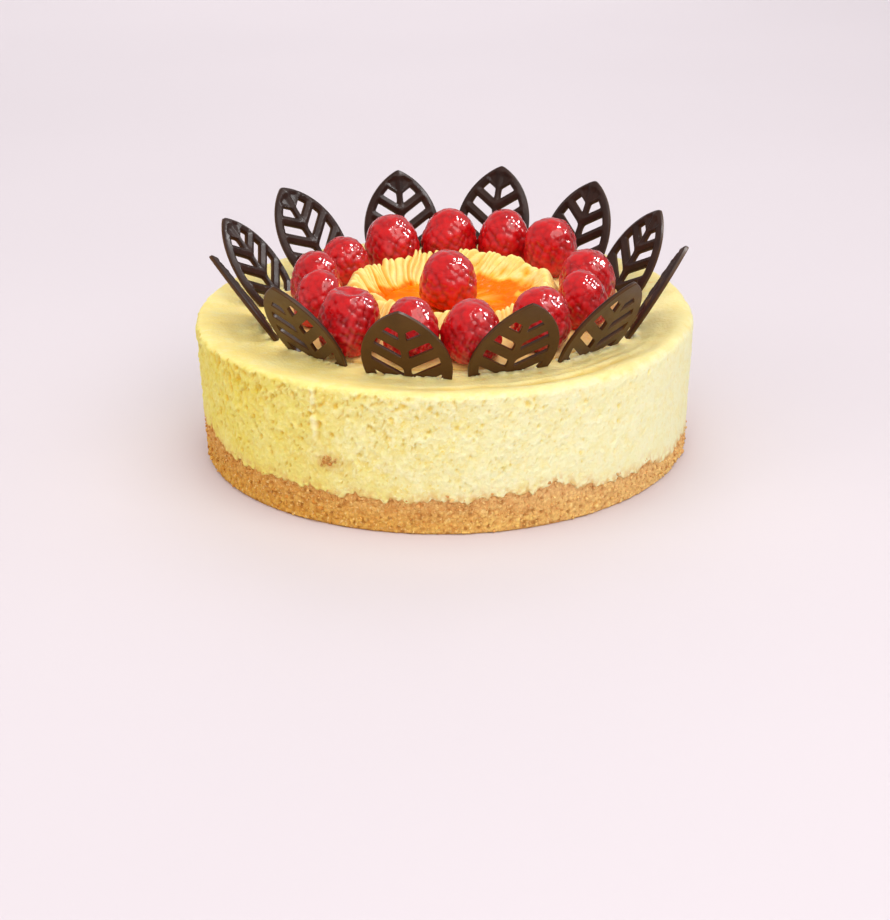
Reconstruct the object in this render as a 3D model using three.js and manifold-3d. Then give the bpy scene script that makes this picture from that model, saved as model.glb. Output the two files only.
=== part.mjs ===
// A round baked cheesecake, 8 inches across, decorated for the table.
//
// A crumb base carries the baked filling. On the filling's top lies a piped ring of cream with a pool of
// orange glaze inside it, thirteen berries stand round on the cream and one in the pool, and twelve
// chocolate leaves are pushed into the filling as a crown that leans outwards.
//
// Millimetres, +Z up, origin at the middle of the flat underside, the front of the cake towards -Y.

import * as THREE from "three";
import { mergeVertices } from "three/addons/utils/BufferGeometryUtils.js";
import Module from "manifold-3d";

const wasm = await Module();
wasm.setup();

// ---- driving dimensions -------------------------------------------------------------------------

const GAP = 0.3; // air left between neighbouring solids
const TAU = Math.PI * 2;

const CAKE = {
  baseRadius: 100.4, // the side leans out slightly: the tin was wider at its mouth
  topRadius: 101.7,
  rimHeight: 57,
  topHeight: 55, // the top sinks a little inside the rim
  shoulder: 3.4, // radius of the rounded top edge
  crumbHeight: 14.8, // thickness of the crumb base, before its swells
  segments: 60,
};

// Where the crumb base was pressed higher or lower at its edge: direction, height in millimetres and
// half the width of the place in degrees.
const CRUMB_SWELLS = [
  { azimuth: 190, rise: 4.2, spread: 10 },
  { azimuth: 203, rise: 3.6, spread: 6.5 },
  { azimuth: 259, rise: -1.8, spread: 6 },
  { azimuth: 294, rise: 3.2, spread: 4.5 },
  { azimuth: 310, rise: -3.2, spread: 12 },
  { azimuth: 332, rise: -6.5, spread: 9 },
  { azimuth: 354, rise: -7, spread: 10 },
  { azimuth: 40, rise: 1.6, spread: 14 },
  { azimuth: 95, rise: -1.8, spread: 11 },
  { azimuth: 150, rise: 1.5, spread: 10 },
];

const CREAM = {
  centre: [2.5, 2], // the ring was piped slightly off the cake's axis
  flutes: 48,
  fluteDepth: 1.1, // ridge above valley
  crestRadius: 39.5,
  crestHeight: 12.5, // above the cake's top
  skirtRadius: 70.5,
};

const POOL = { radius: 24, height: 3.4, segments: 40 }; // the glaze that fills the hollow of the ring

const LEAF = {
  length: 48, // tip to foot
  halfWidth: 17.5,
  widestAt: 28, // distance of the widest place from the tip
  thickness: 2.4,
  frame: 4.1, // width of the border round the openings
  midrib: 3.0,
  ribSlope: 0.68, // rise of the side ribs for each millimetre outwards
  ribPitch: 9.7,
  firstOpening: 11.8, // where the first opening starts at the midrib, measured from the tip
  openingHeight: 4.3,
  openingPairs: 4,
  crown: [2.5, 1], // middle of the crown of leaves
};

// One row for each leaf, in degrees and millimetres: direction from the crown's middle, radius at the
// cake's top, lean outwards, length above the cake, turn about the vertical and roll in its own plane.
const LEAVES = [
  { azimuth: 196, radius: 76.5, lean: 33, reach: 38.8, turn: 0, roll: 5 },
  { azimuth: 163.5, radius: 75.5, lean: 35, reach: 40.5, turn: -4, roll: -3 },
  { azimuth: 133, radius: 76, lean: 31, reach: 43, turn: 4, roll: -11 },
  { azimuth: 105, radius: 77, lean: 21, reach: 40, turn: 1, roll: 2 },
  { azimuth: 77.2, radius: 77.5, lean: 27, reach: 42, turn: -12, roll: -1 },
  { azimuth: 48, radius: 77, lean: 26, reach: 40.4, turn: -2, roll: 2 },
  { azimuth: 19, radius: 74, lean: 29.5, reach: 39.2, turn: 5, roll: 5 },
  { azimuth: 342.5, radius: 77, lean: 30, reach: 40.5, turn: 3, roll: -1 },
  { azimuth: 314.5, radius: 74.5, lean: 31, reach: 38, turn: -4, roll: -9 },
  { azimuth: 286, radius: 75, lean: 30, reach: 37.5, turn: 3, roll: -5 },
  { azimuth: 258, radius: 77.5, lean: 28, reach: 35.2, turn: -1, roll: -1 },
  { azimuth: 227, radius: 75, lean: 31, reach: 39, turn: 1, roll: 4 },
];

// One row for each berry: direction and distance from the cake's axis, width, height, height of its
// foot above the table, and how far its top leans outwards (negative: inwards). The last stands inside.
const BERRIES = [
  { azimuth: 235, distance: 62.8, width: 25.6, height: 26.0, foot: 56.8, lean: 4 },
  { azimuth: 203.3, distance: 55.2, width: 21.4, height: 20.8, foot: 58.2, lean: -3 },
  { azimuth: 176.5, distance: 52.6, width: 22.0, height: 21.6, foot: 58.2, lean: 2 },
  { azimuth: 142, distance: 54.8, width: 21.4, height: 19.8, foot: 57.9, lean: -4 },
  { azimuth: 113, distance: 57.5, width: 24.6, height: 23.0, foot: 58.2, lean: 0 },
  { azimuth: 87.6, distance: 57.5, width: 24.8, height: 23.6, foot: 58.4, lean: 2 },
  { azimuth: 64.4, distance: 61.0, width: 23.2, height: 23.8, foot: 58.2, lean: 5 },
  { azimuth: 41.5, distance: 62.0, width: 24.2, height: 24.0, foot: 58.2, lean: -3 },
  { azimuth: 359.4, distance: 58.2, width: 24.0, height: 22.2, foot: 58.3, lean: 5 },
  { azimuth: 333.2, distance: 61.5, width: 21.4, height: 22.2, foot: 58.0, lean: -2 },
  { azimuth: 306, distance: 62.5, width: 23.8, height: 23.4, foot: 57.6, lean: 3 },
  { azimuth: 279.2, distance: 64.0, width: 24.0, height: 22.8, foot: 57.6, lean: 2 },
  { azimuth: 258.5, distance: 63.5, width: 22.4, height: 23.2, foot: 57.6, lean: -2 },
  { azimuth: 290, distance: 5.0, width: 24.6, height: 23.0, foot: 58.9, lean: 0 },
];
const BERRY = { sides: 12, bumps: 6, bumpDepth: 0.35 };

// ---- finishes -----------------------------------------------------------------------------------

const FINISH = {
  crumb: { color: 0xd39a55, roughness: 0.9 },
  filling: { color: 0xf3e4a6, roughness: 0.75 },
  cream: { color: 0xfbe9a0, roughness: 0.6 },
  glaze: { color: 0xf28a18, roughness: 0.2 },
  berry: { color: 0xc22a28, roughness: 0.25 },
  chocolate: { color: 0x4a3426, roughness: 0.4 },
};

// ---- building closed solids ---------------------------------------------------------------------

const radians = THREE.MathUtils.degToRad;
const smooth = (value, from, to) => THREE.MathUtils.smoothstep(value, from, to);

// Joins rings of points into one closed surface. Each ring has the same number of points, counted
// counter-clockwise from above. A solid of revolution's rings run from the foot up to the top and its
// ends are closed by a middle point; a hoop's rings run outside, over the top and back underneath.
// Each four-sided patch is split along its shorter diagonal, so surfaces that follow each other match.
function closedSurface(rings, isHoop) {
  const count = rings[0].length;
  const points = rings.flat();
  const index = [];
  const pairs = isHoop ? rings.length : rings.length - 1;
  for (let r = 0; r < pairs; r += 1) {
    const low = r * count;
    const high = ((r + 1) % rings.length) * count;
    for (let i = 0; i < count; i += 1) {
      const j = (i + 1) % count;
      const [a, b, c, d] = [low + i, low + j, high + j, high + i];
      const splitsAtA = distance(points[a], points[c]) <= distance(points[b], points[d]);
      index.push(...(splitsAtA ? [a, b, c, a, c, d] : [a, b, d, b, c, d]));
    }
  }
  if (!isHoop) {
    closeEnd(points, index, 0, count, true);
    closeEnd(points, index, (rings.length - 1) * count, count, false);
  }
  const geometry = new THREE.BufferGeometry();
  geometry.setAttribute("position", new THREE.Float32BufferAttribute(points.flat(), 3));
  geometry.setIndex(index);
  return geometry;
}

function distance(from, to) {
  return Math.hypot(...from.map((value, axis) => value - to[axis]));
}

function closeEnd(points, index, start, count, facesDown) {
  const middle = [0, 0, 0];
  for (let i = 0; i < count; i += 1) {
    points[start + i].forEach((value, axis) => {
      middle[axis] += value / count;
    });
  }
  const tip = points.push(middle) - 1;
  for (let i = 0; i < count; i += 1) {
    const a = start + i;
    const b = start + ((i + 1) % count);
    index.push(...(facesDown ? [b, a, tip] : [a, b, tip]));
  }
}

function ring(count, pointAt) {
  return Array.from({ length: count }, (_, i) => pointAt((i / count) * TAU));
}

function polar(radius, angle, height, centre = [0, 0]) {
  return [centre[0] + radius * Math.cos(angle), centre[1] + radius * Math.sin(angle), height];
}

function asManifold(geometry, matrix) {
  const bare = geometry.clone();
  bare.deleteAttribute("normal");
  bare.deleteAttribute("uv");
  if (matrix) {
    bare.applyMatrix4(matrix);
  }
  const merged = mergeVertices(bare, 1e-4);
  return new wasm.Manifold(
    new wasm.Mesh({
      numProp: 3,
      vertProperties: new Float32Array(merged.attributes.position.array),
      triVerts: new Uint32Array(merged.index.array),
    }),
  );
}

function fromManifold(solid) {
  const mesh = solid.getMesh();
  const geometry = new THREE.BufferGeometry();
  geometry.setAttribute("position", new THREE.Float32BufferAttribute(mesh.vertProperties, 3));
  geometry.setIndex(Array.from(mesh.triVerts));
  return geometry;
}

// ---- the cake -----------------------------------------------------------------------------------

// The side isn't a perfect cylinder: it swells and sinks a few tenths of a millimetre on its way round.
function sideWobble(angle) {
  return 0.3 * Math.sin(2 * angle + 0.6) + 0.2 * Math.sin(5 * angle + 1.9);
}

function sideRadius(angle, height) {
  const share = height / CAKE.rimHeight;
  return CAKE.baseRadius + (CAKE.topRadius - CAKE.baseRadius) * share + sideWobble(angle);
}

// The crumb base's upper edge rises and sinks as it was pressed in by hand. It is thinnest at the right.
function crumbTop(radius, angle) {
  const rise = CRUMB_SWELLS.reduce((sum, swell) => {
    const away = Math.atan2(
      Math.sin(angle - radians(swell.azimuth)),
      Math.cos(angle - radians(swell.azimuth)),
    );
    return sum + swell.rise * Math.exp(-((away / radians(swell.spread)) ** 2));
  }, 0);
  return CAKE.crumbHeight + rise * smooth(radius / CAKE.baseRadius, 0.4, 1);
}

function crumbBase() {
  const foot = 1.2;
  const rows = [
    { share: 0.6, height: 0, follows: 0 },
    { share: 1, height: 0, inset: foot, follows: 0 },
    { share: 1, height: foot, follows: 0 },
    { share: 1, follows: 1 },
    { share: 0.85, follows: 1 },
    { share: 0.45, follows: 1 },
  ];
  return closedSurface(
    rows.map((row) =>
      ring(CAKE.segments, (angle) => {
        const edge = sideRadius(angle, row.follows ? CAKE.crumbHeight : 0);
        const radius = edge * row.share - (row.inset ?? 0);
        return polar(radius, angle, row.follows ? crumbTop(radius, angle) : row.height);
      }),
    ),
    false,
  );
}

// The rim stands unevenly: a low swelling at the back right, where the filling had risen.
function rimHeight(angle) {
  const swelling = Math.max(0, Math.cos(angle - radians(33))) ** 24;
  return CAKE.rimHeight + 0.35 * Math.sin(3 * angle + 1.1) + 0.9 * swelling;
}

function fillingBody() {
  const under = [0.45, 0.85, 1].map((share) =>
    ring(CAKE.segments, (angle) => {
      const radius = sideRadius(angle, CAKE.crumbHeight) * share;
      return polar(radius, angle, crumbTop(radius, angle) + 2 * GAP);
    }),
  );
  const side = [35].map((height) =>
    ring(CAKE.segments, (angle) => polar(sideRadius(angle, height), angle, height)),
  );
  const shoulder = [0, 30, 60, 90].map((turn) =>
    ring(CAKE.segments, (angle) => {
      const rim = rimHeight(angle);
      const inset = CAKE.shoulder * (1 - Math.cos(radians(turn)));
      const height = rim - CAKE.shoulder * (1 - Math.sin(radians(turn)));
      return polar(sideRadius(angle, rim) - inset, angle, height);
    }),
  );
  const top = [0.88, 0.8, 0.4].map((share) =>
    ring(CAKE.segments, (angle) => {
      const rise = (rimHeight(angle) - CAKE.topHeight) * smooth(share, 0.8, 0.965);
      return polar(CAKE.topRadius * share, angle, CAKE.topHeight + rise);
    }),
  );
  return closedSurface([...under, ...side, ...shoulder, ...top], false);
}

// ---- chocolate leaves ---------------------------------------------------------------------------

// Each half of a leaf's edge is an arc through the tip. The arc's middle lies across the midrib.
const EDGE_RADIUS = (LEAF.halfWidth ** 2 + LEAF.widestAt ** 2) / (2 * LEAF.halfWidth);
const EDGE_OFFSET = EDGE_RADIUS - LEAF.halfWidth;

function edgeHalfWidth(fromTip, inset = 0) {
  const radius = EDGE_RADIUS - inset;
  return Math.sqrt(radius ** 2 - (fromTip - LEAF.widestAt) ** 2) - EDGE_OFFSET;
}

// Where a side rib's edge, which leaves the midrib's axis at a distance from the tip, meets the frame.
function ribEnd(fromTip) {
  const rise = LEAF.ribSlope;
  const below = fromTip - LEAF.widestAt;
  const a = 1 + rise ** 2;
  const b = 2 * (EDGE_OFFSET - rise * below);
  const c = EDGE_OFFSET ** 2 + below ** 2 - (EDGE_RADIUS - LEAF.frame) ** 2;
  const out = (-b + Math.sqrt(b ** 2 - 4 * a * c)) / (2 * a);
  return { out, fromTip: fromTip - rise * out };
}

// The leaf stands in its own plane with its tip at the top: x across, y up from the foot.
function leafOutline() {
  const steps = 8;
  const tipWidth = 1.2;
  const shape = new THREE.Shape();
  const at = (side, fromTip) => [side * edgeHalfWidth(fromTip), LEAF.length - fromTip];
  shape.moveTo(-tipWidth, LEAF.length - 0.2);
  for (let i = steps; i >= 1; i -= 1) {
    shape.lineTo(...at(-1, (LEAF.length * (steps + 1 - i)) / steps));
  }
  for (let i = steps; i >= 1; i -= 1) {
    shape.lineTo(...at(1, (LEAF.length * i) / steps));
  }
  shape.lineTo(tipWidth, LEAF.length - 0.2);
  return shape;
}

function leafOpening(pair, side) {
  const half = LEAF.midrib / 2;
  const upper = LEAF.firstOpening + LEAF.ribPitch * pair;
  const lower = upper + LEAF.openingHeight;
  const [top, bottom] = [ribEnd(upper), ribEnd(lower)];
  const between = (top.fromTip + bottom.fromTip) / 2;
  const corners = [
    [half, upper - LEAF.ribSlope * half],
    [top.out, top.fromTip],
    [edgeHalfWidth(between, LEAF.frame), between],
    [bottom.out, bottom.fromTip],
    [half, lower - LEAF.ribSlope * half],
  ];
  return new THREE.Path(corners.map(([x, fromTip]) => new THREE.Vector2(side * x, LEAF.length - fromTip)));
}

function leafSolid(grown = 0) {
  const shape = leafOutline();
  if (!grown) {
    for (let pair = 0; pair < LEAF.openingPairs; pair += 1) {
      shape.holes.push(leafOpening(pair, -1), leafOpening(pair, 1));
    }
  }
  const depth = LEAF.thickness + 2 * grown;
  const geometry = new THREE.ExtrudeGeometry(shape, { depth, bevelEnabled: false, curveSegments: 1 });
  geometry.translate(0, 0, -depth / 2);
  if (grown) {
    geometry.translate(0, -LEAF.length / 2, 0);
    geometry.scale(1 + grown / LEAF.halfWidth, 1 + (2 * grown) / LEAF.length, 1);
    geometry.translate(0, LEAF.length / 2, 0);
  }
  return geometry;
}

// Stands a leaf on the cake: its flat outer face looks outwards, and its foot is in the filling.
function leafPlace(row) {
  const direction = radians(row.azimuth);
  const place = new THREE.Matrix4().makeTranslation(
    ...polar(row.radius, direction, CAKE.topHeight, LEAF.crown),
  );
  const turn = new THREE.Matrix4().makeRotationZ(direction + Math.PI / 2 + radians(row.turn));
  const upright = new THREE.Matrix4().makeRotationX(Math.PI / 2 + radians(row.lean));
  const roll = new THREE.Matrix4().makeRotationZ(radians(row.roll));
  const sink = new THREE.Matrix4().makeTranslation(0, row.reach - LEAF.length, 0);
  return place.multiply(turn).multiply(upright).multiply(roll).multiply(sink);
}

// The filling closes round the feet of the leaves, so each leaf has its own slot.
function filling() {
  return fromManifold(
    LEAVES.reduce(
      (body, row) => body.subtract(asManifold(leafSolid(GAP), leafPlace(row))),
      asManifold(fillingBody()),
    ),
  );
}

// ---- cream ring and glaze -----------------------------------------------------------------------

// The ring's section: radius, height above the cake's top, share of the flute's depth, and how far
// the flutes have slanted round by there, in steps of half a flute.
const CREAM_SECTION = [
  { radius: CREAM.skirtRadius, height: GAP, flute: 0.3, slant: 0 },
  { radius: CREAM.skirtRadius - 0.4, height: 1.2, flute: 0.5, slant: 0 },
  { radius: 49, height: 2.1, flute: 0.5, slant: 0.2 },
  { radius: 43.5, height: 6.5, flute: 1, slant: 0.4 },
  { radius: CREAM.crestRadius, height: CREAM.crestHeight, flute: 1, slant: 0.6 },
  { radius: 34.5, height: 9.2, flute: 1, slant: 0.9 },
  { radius: 27, height: 4.2, flute: 0.7, slant: 1.2 },
  { radius: POOL.radius + 2.2, height: GAP, flute: 0, slant: 1.2 },
];

function creamRing() {
  const steps = CREAM.flutes * 2;
  return closedSurface(
    CREAM_SECTION.map((row) =>
      Array.from({ length: steps }, (_, i) => {
        const angle = ((i + row.slant) / steps) * TAU;
        const ridge = (i % 2 ? -0.5 : 0.5) * CREAM.fluteDepth * row.flute;
        const height = CAKE.topHeight + row.height + (row.height > 3 ? ridge : 0);
        return polar(row.radius + (row.height > 3 ? 0 : ridge), angle, height, CREAM.centre);
      }),
    ),
    true,
  );
}

// The centre berry stands in the glaze, which lies round its foot.
function glazePool() {
  const levels = [
    { share: 1, height: GAP },
    { share: 1.02, height: POOL.height - 0.8 },
    { share: 0.97, height: POOL.height },
  ];
  return closedSurface(
    levels.map((row) =>
      ring(POOL.segments, (angle) => {
        const wave = 0.5 * Math.sin(3 * angle + 0.8) + 0.3 * Math.sin(5 * angle);
        return polar((POOL.radius + wave) * row.share, angle, CAKE.topHeight + row.height, CREAM.centre);
      }),
    ),
    false,
  );
}

// ---- berries ------------------------------------------------------------------------------------

// A berry stands on its open end: widest a third of the way up, with a blunt domed top.
const BERRY_SECTION = [
  { height: 0, width: 0.66 },
  { height: 0.1, width: 0.87 },
  { height: 0.3, width: 1 },
  { height: 0.52, width: 0.98 },
  { height: 0.74, width: 0.85 },
  { height: 0.9, width: 0.62 },
  { height: 0.98, width: 0.33 },
];

function berrySolid(row) {
  return closedSurface(
    BERRY_SECTION.map((level, n) =>
      ring(BERRY.sides, (angle) => {
        const turned = angle + (n % 2 ? Math.PI / BERRY.sides : 0);
        const bump = BERRY.bumpDepth * (Math.sin(BERRY.bumps * turned + 2 * n) * level.width - 1);
        return polar((row.width / 2) * level.width + bump, turned, row.height * level.height);
      }),
    ),
    false,
  );
}

function berryPlace(row) {
  const direction = radians(row.azimuth);
  const place = new THREE.Matrix4().makeTranslation(...polar(row.distance, direction, row.foot));
  const lean = new THREE.Matrix4().makeRotationAxis(
    new THREE.Vector3(-Math.sin(direction), Math.cos(direction), 0),
    radians(row.lean),
  );
  return place.multiply(lean);
}

// ---- the whole ----------------------------------------------------------------------------------

const cake = new THREE.Group();

function add(name, geometry, finish, matrix) {
  const flat = geometry.index ? geometry.toNonIndexed() : geometry;
  flat.computeVertexNormals();
  const mesh = new THREE.Mesh(flat, new THREE.MeshStandardMaterial({ metalness: 0, ...FINISH[finish] }));
  mesh.name = name;
  if (matrix) {
    mesh.applyMatrix4(matrix);
  }
  cake.add(mesh);
}

const numbered = (word, i) => `${word}_${String(i + 1).padStart(2, "0")}`;

add("crumb_base", crumbBase(), "crumb");
add("filling", filling(), "filling");
add("cream_ring", creamRing(), "cream");
add("glaze_pool", glazePool(), "glaze");
BERRIES.forEach((row, i) => add(numbered("berry", i), berrySolid(row), "berry", berryPlace(row)));
LEAVES.forEach((row, i) => add(numbered("leaf", i), leafSolid(), "chocolate", leafPlace(row)));

export default cake;
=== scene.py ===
"""The looks of a round baked cheesecake decorated for the table.

A crumb base carries the torn, curdled filling. On it lie a piped ring of cream and a pool of orange glaze,
with fourteen glazed raspberries and a crown of twelve chocolate leaves. Every piece is built round the
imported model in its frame: +Z up, the middle of the flat underside at the origin, the front towards -Y.
Shapes are worked out in millimetres and stored in metres.
"""

import itertools
import math

import bmesh
import bpy
import numpy as np
from mathutils import Matrix, Vector, geometry


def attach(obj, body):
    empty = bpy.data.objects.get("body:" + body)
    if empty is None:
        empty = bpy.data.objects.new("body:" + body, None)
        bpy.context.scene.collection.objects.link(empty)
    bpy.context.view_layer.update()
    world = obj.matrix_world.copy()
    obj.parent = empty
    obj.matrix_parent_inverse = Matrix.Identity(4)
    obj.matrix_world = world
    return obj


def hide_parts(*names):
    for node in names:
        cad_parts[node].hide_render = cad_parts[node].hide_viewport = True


MM = 0.001
TAU = 2 * math.pi

# ---- driving dimensions, in millimetres ----

BASE_RADIUS = 100.4
TOP_RADIUS = 101.7
RIM_HEIGHT = 57.0
TOP_HEIGHT = 55.0
CRUMB_HEIGHT = 14.8

# Where the crumb base stands higher or lower at its edge: direction, height and half width in degrees.
CRUMB_SWELLS = (
    (190, 4.2, 10), (203, 3.6, 6.5), (259, -1.8, 6), (294, 3.2, 4.5), (310, -3.2, 12),
    (332, -6.5, 9), (354, -7.0, 10), (40, 1.6, 14), (95, -1.8, 11), (150, 1.5, 10),
    (202, 1.6, 1.5), (267.5, 1.2, 1.5), (237, 1.0, 4),
)

# The filling's mesh: directions round it, rings that are buried in the base, rings up the side and
# rings round the shoulder.
FILLING_COLUMNS = 1000
FOOT_ROWS = 3
SIDE_ROWS = 63
SHOULDER_ROWS = 7

# Where the seam runs down the side, painted white along its ridge as a highlight, and where a lump of crumb
# is baked into it.
SEAM_AZIMUTH = 240.9
LUMP_AZIMUTH = 243.9
LUMP_HEIGHT = 27.2

CRUMB_COUNT = 1700
LUMP_COUNT = 44
FLECKS_AT_LEAF = 6

CREAM_CENTRE = np.array([2.5, 2.0, 0.0])
SHELLS = 21
RIDGES_IN_SHELL = 4
RIDGES = SHELLS * RIDGES_IN_SHELL
RIDGE_TWIST = 3.8  # how many ridges the piping turns by, on its way down from the crest to the pool
# The piped ring's section from the outer foot over the crest to the pool: radius, height above the top.
CREAM_SECTION = (
    (72.6, -1.2), (74.0, 0.4), (72.4, 2.0), (68.0, 2.7), (58.0, 2.8), (49.0, 3.4), (44.2, 6.4),
    (41.8, 10.8), (40.0, 12.9), (38.2, 11.9), (34.6, 8.2), (31.0, 4.9), (27.5, 2.8), (22.0, 1.4),
)
POOL_HEIGHT = 3.5

LEAF_NODES = [f"leaf_{number:02d}" for number in range(1, 13)]
LEAF_LENGTH = 48.0
LEAF_HALF_WIDTH = 17.5
LEAF_WIDEST_AT = 28.0
LEAF_FRAME = 4.1
LEAF_MIDRIB = 3.0
LEAF_RIB_SLOPE = 0.68
LEAF_RIB_PITCH = 9.7
LEAF_FIRST_OPENING = 11.8
LEAF_OPENING_HEIGHT = 4.3
LEAF_OPENING_PAIRS = 4
LEAF_ARC = (LEAF_HALF_WIDTH**2 + LEAF_WIDEST_AT**2) / (2 * LEAF_HALF_WIDTH)
LEAF_ARC_OFFSET = LEAF_ARC - LEAF_HALF_WIDTH
LEAF_SHARP_EDGE = 26  # degrees

BERRY_COUNT = 14
DRUPELET_PITCH = 3.4
DRUPELET_RADIUS = 2.5
# A berry's outline from the middle of its foot to the middle of its top: shares of half width and height.
BERRY_SECTION = (
    (0.0, 0.05), (0.45, 0.0), (0.72, 0.03), (0.93, 0.13), (1.0, 0.3),
    (0.98, 0.5), (0.84, 0.74), (0.6, 0.91), (0.3, 1.0), (0.0, 1.02),
)

# Strokes of the palette knife on the top: radius, direction, half its reach in degrees, half width,
# depth (negative: a ridge). Their valleys are also painted deeper yellow as shade, and their ridges lighter.
STROKES = (
    (93.4, 297, 34, 2.0, 0.95), (90.0, 303, 30, 1.6, -0.7), (87.2, 309, 24, 1.5, 0.6),
    (84.6, 300, 22, 1.4, -0.35), (81.8, 311, 16, 1.6, 0.3), (92.0, 272, 14, 1.6, 0.4),
    (95.6, 262, 16, 1.0, 0.2), (88.5, 208, 26, 2.4, 0.18), (91.0, 120, 30, 1.8, 0.3),
    (86.0, 60, 26, 2.2, 0.26),
)
# Small orange spots in the top skin: direction, radius, half width.
SPOTS = (
    (296, 81.7, 0.9), (280, 81.4, 0.6), (23, 91.9, 1.3), (18, 93.6, 0.8), (29, 94.5, 1.0), (150, 88, 0.9),
)

# The studio, in metres, with the lens in millimetres and the camera's angles in degrees.
FLOOR_REACH = 12.0
CAMERA_PLACE = (-0.0005, -0.74, 0.304)
CAMERA_SEES_TO = 50
CAMERA_LENS = 73.64
CAMERA_DOWN = 23.11
CAMERA_LEAN = -0.7
LAMPS_AIM_AT = (0, 0, 0.05)


# ---- noise ----


def lattice_hash(x, y, z, seed):
    """A number from 0 to 1 for each point of a whole-number lattice, the same in every run."""
    mixed = (x * 374761393 + y * 668265263 + z * 1440662683 + seed * 1274126177) & 0xFFFFFFFF
    mixed = ((mixed ^ (mixed >> 13)) * 1274126177) & 0xFFFFFFFF
    mixed = ((mixed ^ (mixed >> 16)) * 1103515245) & 0xFFFFFFFF
    return (mixed ^ (mixed >> 15)) / 0xFFFFFFFF


def unit(value):
    """The value held between 0 and 1."""
    return np.clip(value, 0, 1)


def smooth(value, low, high):
    """Rises gently from 0 at low to 1 at high."""
    share = unit((value - low) / (high - low))
    return share * share * (3 - 2 * share)


def noise(points, size, seed):
    """Smooth noise from -1 to 1 whose lumps are about size across."""
    scaled = points / size
    cell = np.floor(scaled).astype(np.int64)
    part = scaled - cell
    part = part * part * (3 - 2 * part)
    total = np.zeros(len(points))
    for offset in itertools.product((0, 1), repeat=3):
        weight = np.prod(np.where(np.array(offset) == 1, part, 1 - part), axis=1)
        total += weight * lattice_hash(*(cell + offset).T, seed)
    return total * 2 - 1


def rough(points, size, seed, octaves=2):
    """Noise with finer and fainter noise on top of it, from about -1 to 1."""
    total = np.zeros(len(points))
    for octave in range(octaves):
        total += noise(points, size / 2**octave, seed + octave) * 0.55**octave
    return total


def patchy(points, size, seed, low, high):
    """Rough noise turned into soft patches of 0 and 1."""
    return smooth(rough(points, size, seed), low, high)


def cells(points, size, seed):
    """Distances to the nearest and second nearest of scattered grains, and the nearest's own number."""
    scaled = points / size
    cell = np.floor(scaled).astype(np.int64)
    nearest = np.full(len(points), 9.0)
    second = np.full(len(points), 9.0)
    number = np.zeros(len(points))
    for offset in itertools.product((-1, 0, 1), repeat=3):
        corner = cell + offset
        jitter = np.stack([lattice_hash(*corner.T, seed + axis) for axis in range(3)], axis=1)
        away = np.linalg.norm(scaled - corner - 0.1 - 0.8 * jitter, axis=1)
        closer = away < nearest
        second = np.where(closer, nearest, np.minimum(second, away))
        nearest = np.where(closer, away, nearest)
        number = np.where(closer, jitter[:, 0], number)
    return nearest, second, number


def bell(value, middle, spread):
    return np.exp(-(((value - middle) / spread) ** 2))


def angle_bell(angle, azimuth, spread):
    """A bell round a direction, with the direction and the spread in degrees."""
    away = angle - math.radians(azimuth)
    away = np.arctan2(np.sin(away), np.cos(away))
    return bell(away, 0, math.radians(spread))


def swells(angle, rows):
    """Bells round some directions, added up: direction, height and half width in degrees."""
    return sum(rise * angle_bell(angle, azimuth, spread) for azimuth, rise, spread in rows)


# ---- meshes ----


def full_turn(columns):
    """Evenly spaced directions all the way round."""
    return np.arange(columns) / columns * TAU


def polar(angle, radius, height):
    """Points by their direction, distance from the axis and height."""
    return np.stack(np.broadcast_arrays(radius * np.cos(angle), radius * np.sin(angle), height), 1)


def on_circle(angle, radius=100.0):
    """Points for noise that runs round the cake."""
    return polar(angle, radius, 0.0)


def stacked(rings, columns):
    """Points of rings of (radius, height) round the cake's axis, one ring after another."""
    return np.concatenate([polar(full_turn(columns), radius, height) for radius, height in rings])


def push_out(points, angle, distance):
    """Moves points away from the cake's axis."""
    points[:, 0] += distance * np.cos(angle)
    points[:, 1] += distance * np.sin(angle)


def sphere(subdivisions):
    """Points and triangles of a round shell."""
    shell = bmesh.new()
    bmesh.ops.create_icosphere(shell, subdivisions=subdivisions, radius=1.0)
    points = np.array([vertex.co for vertex in shell.verts])
    triangles = np.array([[vertex.index for vertex in face.verts] for face in shell.faces])
    shell.free()
    return points, triangles


def halves(a, b, c, d):
    """Two triangles for each patch with four corners."""
    return np.concatenate([np.stack([a, b, c], 1), np.stack([a, c, d], 1)])


def add_object(name, data):
    made = bpy.data.objects.new(name, data)
    bpy.context.scene.collection.objects.link(made)
    return made


def add_piece(name, points, triangles, slot, nodes=(), marks=None):
    """Makes a piece of the object that rides on the cake, with named values painted on its points."""
    mesh = bpy.data.meshes.new(name)
    mesh.from_pydata(points * MM, [], triangles)
    mesh.polygons.foreach_set("use_smooth", np.ones(len(mesh.polygons), bool))
    for mark, values in (marks or {}).items():
        layer = mesh.attributes.new(mark, "FLOAT", "POINT")
        layer.data.foreach_set("value", values.astype(np.float32))
    mesh.materials.append(looks[slot])
    piece = add_object(name, mesh)
    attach(piece, "root")
    if nodes:
        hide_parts(*nodes)
    return piece


def add_rings(name, points, columns, slot, node, marks=None):
    """Makes a piece of stacked rings, with a fan to the middle of its first and its last ring."""
    rows = len(points) // columns
    low = np.arange(rows - 1)[:, None] * columns
    here = np.arange(columns)
    beyond = (here + 1) % columns
    corners = [low + here, low + beyond, low + columns + beyond, low + columns + here]
    side = halves(*(corner.ravel() for corner in corners))
    last = (rows - 1) * columns
    bottom = np.stack([beyond, here, np.full(columns, len(points))], 1)
    top = np.stack([last + here, last + beyond, np.full(columns, len(points) + 1)], 1)
    triangles = np.concatenate([side, bottom, top])
    middles = [points[:columns].mean(0), points[last:].mean(0)]
    marks = {mark: np.append(values, [0, 0]) for mark, values in (marks or {}).items()}
    add_piece(name, np.concatenate([points, middles]), triangles, slot, [node], marks)


# ---- materials ----


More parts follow.
